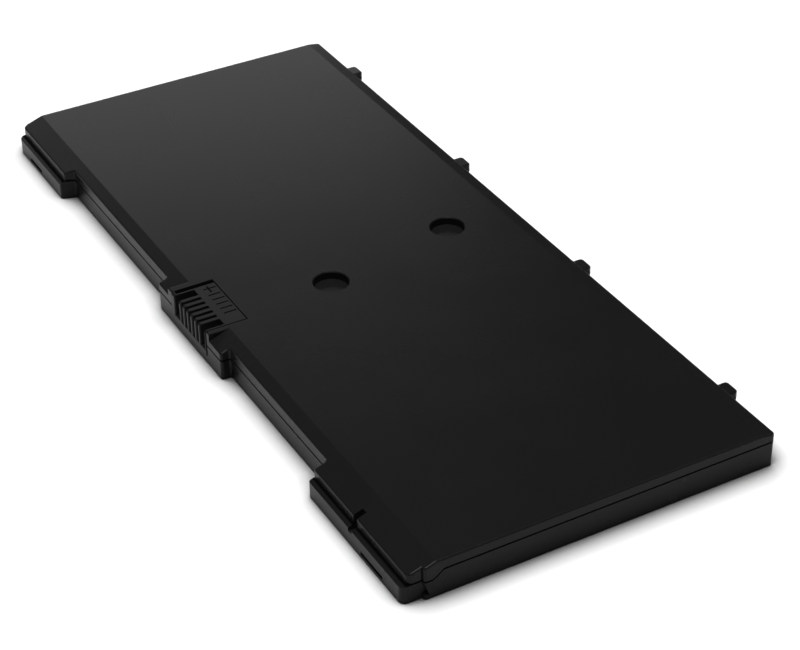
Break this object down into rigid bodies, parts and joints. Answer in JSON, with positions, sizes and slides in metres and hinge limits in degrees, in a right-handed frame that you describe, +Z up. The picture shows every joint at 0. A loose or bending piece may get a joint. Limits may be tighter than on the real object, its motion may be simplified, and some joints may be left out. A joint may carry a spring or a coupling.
{
  "type": "laptop battery",
  "caption": "Flat slab-shaped rechargeable pack for a notebook computer, with a slotted contact block in its front edge, a latch notch and locating tabs along the back.",
  "frame": {"origin": "middle of the bounding box at the underside", "axes": "+X along the battery to the end beside the latch notch, +Y from the contact edge to the tabbed edge, +Z up out of the top cover"},
  "size_m": [0.2504, 0.1124, 0.0109],
  "materials": {
    "shell_plastic": "satin black moulded shell",
    "connector_plastic": "black moulded block",
    "contact_metal": "thinly gilded spring sheet",
    "board_laminate": "green lacquered laminate",
    "chip_plastic": "black moulded packages",
    "ceramic_part": "fired ceramic with tinned ends",
    "cell_pouch": "silver laminated pouch film",
    "nickel_strip": "plain nickel strip",
    "sensor_resin": "black resin bead with flat leads",
    "adhesive_pad": "white double-sided tape",
    "foam": "black open foam",
    "insulating_tape": "amber polyimide film"
  },
  "bodies": {
    "root": {"board_capacitors": "ceramic_part", "bottom_tray": "shell_plastic", "cell_1": "cell_pouch", "cell_2": "cell_pouch", "cell_3": "cell_pouch", "cell_4": "cell_pouch", "cell_fuse": "ceramic_part", "cell_link_1": "nickel_strip", "cell_link_2": "nickel_strip", "cell_link_3": "nickel_strip", "cell_pad_1": "adhesive_pad", "cell_pad_2": "adhesive_pad", "cell_pad_3": "adhesive_pad", "cell_pad_4": "adhesive_pad", "charge_transistor": "chip_plastic", "circuit_board": "board_laminate", "connector_housing": "connector_plastic", "contact_negative": "contact_metal", "contact_positive": "contact_metal", "contact_signal_1": "contact_metal", "contact_signal_2": "contact_metal", "contact_signal_3": "contact_metal", "contact_signal_4": "contact_metal", "contact_signal_5": "contact_metal", "discharge_transistor": "chip_plastic", "foam_strip_1": "foam", "foam_strip_2": "foam", "foam_strip_3": "foam", "foam_strip_4": "foam", "gauge_chip": "chip_plastic", "negative_strap": "nickel_strip", "positive_strap": "nickel_strip", "protection_chip": "chip_plastic", "sense_resistor": "ceramic_part", "tab_tape_1": "insulating_tape", "tab_tape_2": "insulating_tape", "tab_tape_3": "insulating_tape", "thermistor": "sensor_resin", "top_cover": "shell_plastic"}
  },
  "joints": []
}
